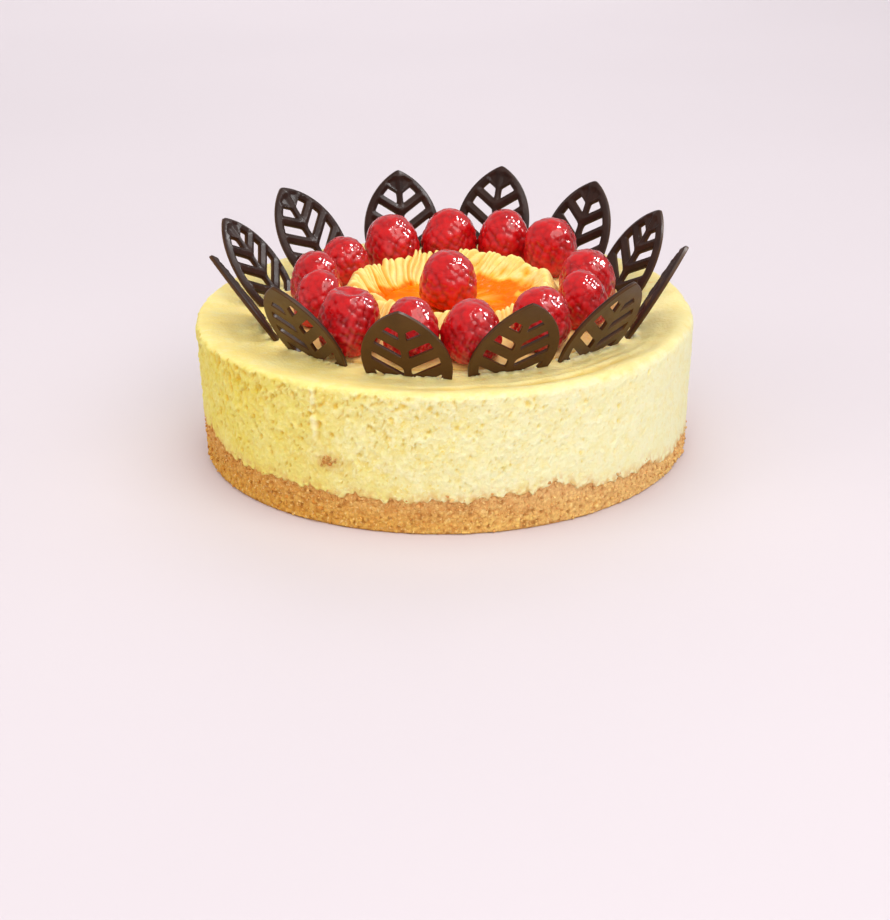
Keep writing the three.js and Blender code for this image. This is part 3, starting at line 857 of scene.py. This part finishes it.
def build_cream():
    columns, rows = RIDGES * 15, 70
    section = evenly(rounded_path(CREAM_SECTION), rows)
    slope = np.gradient(section, axis=0)
    slope /= np.linalg.norm(slope, axis=1)[:, None]
    normal = np.stack([slope[:, 1], -slope[:, 0]], 1)
    crest = int(np.argmax(section[:, 1]))
    angle = full_turn(columns)
    piping = Piping(angle)
    rings = []
    for row, (radius, height) in enumerate(section):
        inwards = (row - crest) / (rows - crest) if row > crest else (row - crest) / crest
        ring, valley = piping.ring(radius, height, normal[row], inwards)
        rings.append((ring, valley, np.full(columns, max(inwards, 0))))
    points, valley, inwards = (np.concatenate(parts) for parts in zip(*rings))
    around = np.tile(angle, rows)
    spread = np.hypot(*(points - CREAM_CENTRE).T[:2])
    curds = soften_cream(points, around, spread, inwards)
    flow = inwards + swells(around, ((20, 0.22, 60), (180, 0.1, 50))) + 0.26 * rough(points, 5, 141)
    flow += 0.2 * valley - 0.12 * curds
    marks = {"glaze": smooth(flow, 0.42, 0.85) * (inwards > 0), "valley": valley * 0.75}
    # The outer sheet under the berries, painted peach as shade with the berries' red bounce.
    marks["peach_and_berry_shade"] = smooth(spread, 46, 60) * (inwards == 0) * (0.75 + 0.25 * rough(points, 10, 143))
    add_rings("piped_cream_ring", points, columns, "cream", "cream_ring", marks)


def build_glaze():
    columns = 160
    radii = [18.0, 28.0, 28.6, *np.arange(28.2, 1, -0.9)]
    levels = [1.0, 2.0, 3.0] + [POOL_HEIGHT] * (len(radii) - 3)
    rings = [(radius, TOP_HEIGHT + level) for radius, level in zip(radii, levels)]
    points = stacked(rings, columns) + CREAM_CENTRE
    lifted = points[:, 2] > TOP_HEIGHT + POOL_HEIGHT - 0.1
    points[:, 2] += lifted * 0.3 * rough(points, 8, 151)
    add_rings("orange_glaze_pool", points, columns, "glaze", "glaze_pool")


# ---- raspberries ----


def solid_corners(node, digits):
    """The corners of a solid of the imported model, each once."""
    corners = np.array([vertex.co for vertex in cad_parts[node].data.vertices]) / MM
    return np.unique(np.round(corners, digits), axis=0)


def berry_place(node):
    """A berry's foot, upright axis, height and half width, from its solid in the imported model."""
    corners = solid_corners(node, 3)
    by_height = corners[np.argsort(corners[:, 2])]
    foot, tip = by_height[:13].mean(0), by_height[-13:].mean(0)
    axis = (tip - foot) / np.linalg.norm(tip - foot)
    beside = corners - foot
    beside -= np.outer(beside @ axis, axis)
    half_width = np.linalg.norm(beside, axis=1).max()
    return foot, axis, np.linalg.norm(tip - foot) / 0.98, half_width


def drupelet_middles(section, half_width, height, draw):
    """Middles of the drupelets, in the spiral in which a berry grows them."""
    outline = section * np.array([half_width, height])
    run = np.linalg.norm(np.diff(outline, axis=0), axis=1)
    area = np.concatenate([[0], np.cumsum(TAU * (outline[1:, 0] + outline[:-1, 0]) / 2 * run)])
    count = round(area[-1] / (0.87 * DRUPELET_PITCH**2))
    wanted = (np.arange(count) + 0.5) / count * area[-1]
    turn = np.arange(count) * math.pi * (3 - math.sqrt(5))
    middles = polar(turn, np.interp(wanted, area, outline[:, 0]), np.interp(wanted, area, outline[:, 1]))
    return middles + draw.normal(0, 0.4, middles.shape)


def berry_shape(points, number, height, half_width, draw):
    """A raspberry standing at the origin, from the points of a sphere: points and values painted on it."""
    section = evenly(rounded_path(BERRY_SECTION), 200)
    share = np.arccos(np.clip(-points[:, 2], -1, 1)) / math.pi
    width, level = (np.interp(share, np.linspace(0, 1, 200), section[:, axis]) for axis in (0, 1))
    turn = np.arctan2(points[:, 1], points[:, 0])
    body_width = half_width - 0.35
    plain = polar(turn, width * body_width, level * height)
    middles = drupelet_middles(section, body_width, height, draw)
    away = np.sqrt(((plain[:, None, :] - middles[None, :, :]) ** 2).sum(2))
    order = np.argsort(away, axis=1)[:, :3]
    near = np.take_along_axis(away, order, axis=1)
    size = DRUPELET_RADIUS + draw.normal(0, 0.2, len(middles))
    bulge = np.sqrt(np.clip(size[order] ** 2 - near**2, 0.05, None))
    swell = np.log(np.exp(bulge * 5).sum(1)) / 5 - DRUPELET_RADIUS
    glazed = smooth(level + 0.12 * noise(plain, 8, 151 + number), 0.5, 0.85)
    relief = swell * (0.62 - 0.4 * glazed) + 0.12 * glazed * rough(plain, 3.2, 191 + number)
    normal = polar(turn, unit(width * 1.4), (level - 0.42) * 1.6)
    normal /= np.linalg.norm(normal, axis=1)[:, None]
    plain += normal * (relief + 0.35)[:, None]
    plain += normal * (0.12 * rough(plain, 4, 161 + number) + 0.8 * noise(plain, 10, 181 + number))[:, None]
    # Darker between the drupelets, less under the glaze: painted shade.
    crease_shade_and_dark_tone = unit(-(swell + 0.2) / 0.9)
    # Lighter on each drupelet's crown, as painted highlight, with a random tone per drupelet.
    tone_and_drupelet_highlight = 0.4 * draw.random(len(middles))[order[:, 0]] + 0.6 * unit((swell + 0.5) / 0.6)
    # A pale pink haze on the lower drupelet crowns: the berry's bloom and a painted soft highlight.
    bloom_and_soft_highlight = smooth(noise(plain, 4.5, 171 + number), 0.1, 0.9) * (1 - glazed) * (1 - crease_shade_and_dark_tone) * 0.25
    return plain, {"crease_shade_and_dark_tone": crease_shade_and_dark_tone * (0.75 - 0.35 * glazed), "tone_and_drupelet_highlight": tone_and_drupelet_highlight, "glazed": glazed, "bloom_and_soft_highlight": bloom_and_soft_highlight}


def dent(points, height):
    """The first berry's top has sunk in: a flat, hollowed place with a rim round it."""
    away = np.hypot(points[:, 0] - 1.5, points[:, 1] + 1.0)
    top = smooth(points[:, 2], 0.55 * height, 0.95 * height)
    points[:, 2] -= top * (4.6 * bell(away, 0, 5.2) - 0.5 * bell(away, 7.5, 1.8))


def build_berries():
    round_points, triangles = sphere(6)
    for number in range(1, BERRY_COUNT + 1):
        node = f"berry_{number:02d}"
        draw = np.random.default_rng(100 + number)
        foot, axis, height, half_width = berry_place(node)
        points, marks = berry_shape(round_points, number, height, half_width, draw)
        if number == 1:
            dent(points, height)
        lean = Vector((0, 0, 1)).rotation_difference(Vector(axis)).to_matrix()
        spin = Matrix.Rotation(draw.random() * TAU, 3, "Z")
        points = points @ np.array(lean @ spin).T + foot
        add_piece(f"raspberry_{number:02d}", points, triangles, "berry", [node], marks)


# ---- chocolate leaves ----


def leaf_place(node):
    """Where a leaf stands: x across it, y up its midrib, z out of its flat face, origin at its foot."""
    corners = solid_corners(node, 2)
    middle = corners.mean(0)
    up, _, out = np.linalg.svd(corners - middle)[2]
    up = up * np.sign(up[2])
    out = out * np.sign(out @ (middle * np.array([1, 1, 0])))
    tip = ((corners - middle) @ up).max()
    place = Matrix((np.cross(up, out), up, out)).transposed().to_4x4()
    place.translation = Vector(middle + up * (tip + 0.2 - LEAF_LENGTH))
    return place


def leaf_places():
    """Each leaf's place at the height of the cake's top, rather than at its buried foot."""
    places = []
    for node in LEAF_NODES:
        place = leaf_place(node)
        rise = (TOP_HEIGHT - place.translation.z) / place.col[1].z
        place.translation = place @ Vector((0, rise, 0))
        places.append(place)
    return places


def leaf_half_width(from_tip, inset):
    square = (LEAF_ARC - inset) ** 2 - (from_tip - LEAF_WIDEST_AT) ** 2
    return np.sqrt(np.maximum(square, 0)) - LEAF_ARC_OFFSET


def leaf_outline(inset):
    """The edge of a leaf, drawn in by an inset, from the left foot round the tip to the right foot."""
    steps = 46
    tip = LEAF_WIDEST_AT - math.sqrt((LEAF_ARC - inset) ** 2 - LEAF_ARC_OFFSET**2)
    share = np.linspace(0, 1, steps) ** 1.25
    from_tip = tip + (LEAF_LENGTH - inset - tip) * share
    half = np.maximum(leaf_half_width(from_tip, inset), 0)
    left = np.stack([-half, LEAF_LENGTH - from_tip], 1)[::-1]
    right = np.stack([half, LEAF_LENGTH - from_tip], 1)[1:]
    loop = np.concatenate([left, right])
    loop[steps - 2 : steps + 1, 1] -= np.array([0.05, 0.2, 0.05])
    return loop


def rib_end(from_tip, inset):
    """Where a side rib's edge, which starts at the midrib's axis, meets the frame."""
    rise = LEAF_RIB_SLOPE
    below = from_tip - LEAF_WIDEST_AT
    a = 1 + rise**2
    b = 2 * (LEAF_ARC_OFFSET - rise * below)
    c = LEAF_ARC_OFFSET**2 + below**2 - (LEAF_ARC - inset) ** 2
    out = (-b + math.sqrt(b**2 - 4 * a * c)) / (2 * a)
    return out, from_tip - rise * out


def opening_loop(pair, side, grown):
    """An opening between two side ribs, grown by a few tenths of a millimetre on all sides."""
    half = LEAF_MIDRIB / 2 - grown
    upper = LEAF_FIRST_OPENING + LEAF_RIB_PITCH * pair - 1.15 * grown
    lower = LEAF_FIRST_OPENING + LEAF_RIB_PITCH * pair + LEAF_OPENING_HEIGHT + 1.15 * grown
    inset = LEAF_FRAME - grown
    upper_end, lower_end = rib_end(upper, inset), rib_end(lower, inset)
    rim_tips = np.linspace(upper_end[1], lower_end[1], 6)[1:-1]
    rim = [(float(leaf_half_width(tip, inset)), tip) for tip in rim_tips]
    first, last = (half, upper - LEAF_RIB_SLOPE * half), (half, lower - LEAF_RIB_SLOPE * half)
    corners = [first, upper_end, *rim, lower_end, last]
    loop = []
    for start, end in zip(corners, corners[1:] + corners[:1]):
        pieces = 8 if start in (first, lower_end) or math.dist(start, end) > 3.2 else 3
        pieces = 4 if start == last else pieces
        loop += [np.array(start) + (np.array(end) - start) * k / pieces for k in range(pieces)]
    loop = 0.6 * np.array(loop) + 0.2 * (np.roll(loop, 1, 0) + np.roll(loop, -1, 0))
    return np.stack([side * loop[:, 0], LEAF_LENGTH - loop[:, 1]], 1)


def leaf_loops(inset, grown):
    openings = itertools.product(range(LEAF_OPENING_PAIRS), (-1, 1))
    return [leaf_outline(inset)] + [opening_loop(pair, side, grown) for pair, side in openings]


def recess_loop(side):
    """A shallow triangular hollow in the solid tip, beside the midrib."""
    corners = np.array([(1.2, 9.6), (1.2, 5.2), (2.2, 4.0), (5.4, 5.6), (4.2, 7.6)])
    return np.stack([side * corners[:, 0], LEAF_LENGTH - corners[:, 1]], 1)


def distance_to(points, loops):
    """The distance from each point to the nearest edge of the loops."""
    nearest = np.full(len(points), 99.0)
    for loop in loops:
        along = np.roll(loop, -1, 0) - loop
        offset = points[:, None, :] - loop[None, :, :]
        share = unit((offset * along).sum(2) / (along**2).sum(1))
        gap = np.linalg.norm(offset - share[:, :, None] * along, axis=2).min(1)
        nearest = np.minimum(nearest, gap)
    return nearest


def inside(points, loop):
    """Whether each point lies inside a closed loop."""
    ahead = np.roll(loop, -1, 0)
    x, y = points[:, :1], points[:, 1:]
    crosses = (loop[:, 1] > y) != (ahead[:, 1] > y)
    rise = np.where(ahead[:, 1] == loop[:, 1], 1, ahead[:, 1] - loop[:, 1])
    at = loop[:, 0] + (y - loop[:, 1]) * (ahead[:, 0] - loop[:, 0]) / rise
    return (crosses & (x < at)).sum(1) % 2 == 1


def in_leaf(points, loops):
    within = inside(points, loops[0])
    for loop in loops[1:]:
        within &= ~inside(points, loop)
    return within


def leaf_face(loops, spacing):
    """Fills a leaf's face with triangles between its loops, and returns its points and triangles."""
    across = np.arange(-LEAF_HALF_WIDTH, LEAF_HALF_WIDTH + spacing, spacing)
    up = np.arange(0, LEAF_LENGTH, spacing * 0.87)
    grid = np.array([(x + spacing / 2 * (row % 2), y) for row, y in enumerate(up) for x in across])
    grid = grid[in_leaf(grid, loops)]
    grid = grid[distance_to(grid, loops) > 0.42 * spacing]
    edges, start = [], 0
    for loop in loops:
        count = len(loop)
        edges += [(start + k, start + (k + 1) % count) for k in range(count)]
        start += count
    points = [Vector(point) for point in np.concatenate([*loops, grid])]
    made = geometry.delaunay_2d_cdt(points, edges, [], 0, 1e-6)
    found = np.array([tuple(point) for point in made[0]])
    triangles = np.array([face for face in made[2] if len(face) == 3])
    return found, triangles[in_leaf(found[triangles].mean(1), loops)]


def rib_relief(points, loops):
    """Height of the inner face: ribs rounded like a roof between the loops, and two hollows by the tip."""
    gap = distance_to(points, loops)
    for hollow in (recess_loop(-1), recess_loop(1)):
        edge = distance_to(points, [hollow])
        gap = np.where(inside(points, hollow), -edge, np.minimum(gap, edge))
    return np.where(gap < 0, -0.6 + 0.35 * smooth(-gap, 0, 0.5), -0.6 - 0.95 * unit(gap / 1.9))


def leaf_shape():
    """The moulded leaf: a flat outer face, sloping edges, and an inner face with rounded ribs."""
    front_loops, back_loops = leaf_loops(0.3, 0.14), leaf_loops(0.5, 0.5)
    front, front_faces = leaf_face(front_loops, 3.0)
    back, back_faces = leaf_face(back_loops, 0.55)
    points = [np.column_stack([front, np.full(len(front), 1.2)])]
    points += [np.column_stack([back, rib_relief(back, back_loops)])]
    for inset, grown, level in ((0.0, 0.0, 0.92), (0.12, 0.28, -0.25)):
        flat = np.concatenate(leaf_loops(inset, grown))
        points.append(np.column_stack([flat, np.full(len(flat), level)]))
    triangles = [front_faces, back_faces + len(front)]
    middle = len(front) + len(back)
    starts = [0, middle, middle + len(points[2]), len(front)]
    for first, second in zip(starts, starts[1:]):
        begin = 0
        for loop in front_loops:
            here = begin + np.arange(len(loop))
            beyond = np.roll(here, -1)
            triangles.append(halves(first + here, first + beyond, second + beyond, second + here))
            begin += len(loop)
    return np.concatenate(points), np.concatenate(triangles)


def face_outwards(piece):
    shell = bmesh.new()
    shell.from_mesh(piece.data)
    bmesh.ops.recalc_face_normals(shell, faces=shell.faces)
    shell.to_mesh(piece.data)
    shell.free()


def build_leaves():
    shape, triangles = leaf_shape()
    draw = np.random.default_rng(17)
    x, y = shape[:, 0] / LEAF_HALF_WIDTH, shape[:, 1] / LEAF_LENGTH
    # inside marks the inner face, which the material paints darker as shade.
    marks = {"inside": smooth(-shape[:, 2], -0.7, 0.3)}
    for node in LEAF_NODES:
        bow, cup, twist = draw.normal(0, 0.5), draw.normal(0.25, 0.25), draw.normal(0, 0.35)
        bent = shape.copy()
        bent[:, 2] += bow * (y - 0.4) * (1 - y) * 2 - cup * x**2 * 0.8 + twist * x * y
        place = np.array(leaf_place(node))
        points = bent @ place[:3, :3].T + place[:3, 3]
        piece = add_piece(f"chocolate_{node}", points, triangles, "chocolate", [node], marks)
        face_outwards(piece)
        piece.data.set_sharp_from_angle(angle=math.radians(LEAF_SHARP_EDGE))


# ---- camera, floor and light ----


def add_camera():
    camera = add_object("camera", bpy.data.cameras.new("camera"))
    camera.data.lens = CAMERA_LENS
    camera.data.clip_end = CAMERA_SEES_TO
    down = Matrix.Rotation(math.radians(90 - CAMERA_DOWN), 4, "X")
    lean = Matrix.Rotation(math.radians(CAMERA_LEAN), 4, "Z")
    camera.matrix_world = Matrix.Translation(CAMERA_PLACE) @ down @ lean
    bpy.context.scene.camera = camera


def add_floor():
    mesh = bpy.data.meshes.new("floor")
    corners = [(x * FLOOR_REACH, y * FLOOR_REACH, 0) for x, y in ((-1, -1), (1, -1), (1, 1), (-1, 1))]
    mesh.from_pydata(corners, [], [(0, 1, 2, 3)])
    mesh.materials.append(floor_material())
    add_object("floor", mesh)


def add_light(name, place, power, size, colour, glossy=True, diffuse=True):
    light = bpy.data.lights.new(name, "AREA")
    light.shape = "RECTANGLE"
    light.size, light.size_y = size
    light.energy = power
    light.color = colour
    lamp = add_object(name, light)
    lamp.location = place
    aim = Vector(LAMPS_AIM_AT) - Vector(place)
    lamp.rotation_euler = aim.to_track_quat("-Z", "Y").to_euler()
    lamp.visible_glossy = glossy
    lamp.visible_diffuse = diffuse
    lamp.visible_camera = False


def add_lights():
    """A soft studio: large lamps, with small ones that show only as glints on what is wet."""
    world = bpy.data.worlds.new("studio")
    world.use_nodes = True
    inputs = world.node_tree.nodes["Background"].inputs
    inputs["Color"].default_value = (0.85, 0.83, 0.85, 1)
    inputs["Strength"].default_value = 0.55
    bpy.context.scene.world = world
    white = (1.0, 1.0, 1.0)
    add_light("key", (0.75, -0.75, 1.25), 10.8, (1.35, 1.0), (1.0, 0.985, 0.95))
    add_light("overhead", (-0.25, -0.3, 1.5), 9.5, (1.7, 1.4), (1.0, 0.99, 0.96), glossy=False)
    add_light("window", (0.75, 0.3, 1.35), 16, (0.34, 0.2), white, diffuse=False)
    add_light("front", (0.1, -1.6, 0.6), 4.5, (1.2, 0.8), (1.0, 0.99, 0.97), glossy=False)
    add_light("left", (-1.3, -0.5, 0.8), 4.1, (0.9, 0.9), (1.0, 0.955, 0.86), glossy=False)
    add_light("glint", (0.25, -0.7, 1.5), 3, (0.14, 0.09), white, diffuse=False)
    add_light("side window", (1.25, 0.25, 0.85), 10, (0.3, 0.2), white, diffuse=False)
    add_light("back", (0.2, 1.2, 1.3), 5.5, (1.1, 0.7), (1.0, 0.98, 0.97), glossy=False)
    add_light("behind", (-0.2, 1.6, 0.6), 5, (1.4, 0.7), (1.0, 0.985, 0.96), glossy=False)
    bpy.context.scene.view_settings.view_transform = "Standard"


# ---- the whole ----

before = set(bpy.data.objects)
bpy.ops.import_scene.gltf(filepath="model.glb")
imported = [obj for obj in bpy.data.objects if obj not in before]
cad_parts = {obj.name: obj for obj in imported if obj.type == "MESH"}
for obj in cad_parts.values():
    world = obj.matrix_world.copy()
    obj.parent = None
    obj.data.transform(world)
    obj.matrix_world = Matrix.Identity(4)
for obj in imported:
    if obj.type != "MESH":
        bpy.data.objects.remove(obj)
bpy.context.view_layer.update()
add_camera()
add_floor()
add_lights()
looks = {
    "filling": filling_material(),
    "crumb": crumb_material(),
    "cream": cream_material(),
    "glaze": glaze_material(),
    "berry": berry_material(),
    "chocolate": chocolate_material(),
}
build_filling()
build_crumb_base()
build_loose_crumbs()
build_curd_flecks()
build_cream()
build_glaze()
build_berries()
build_leaves()
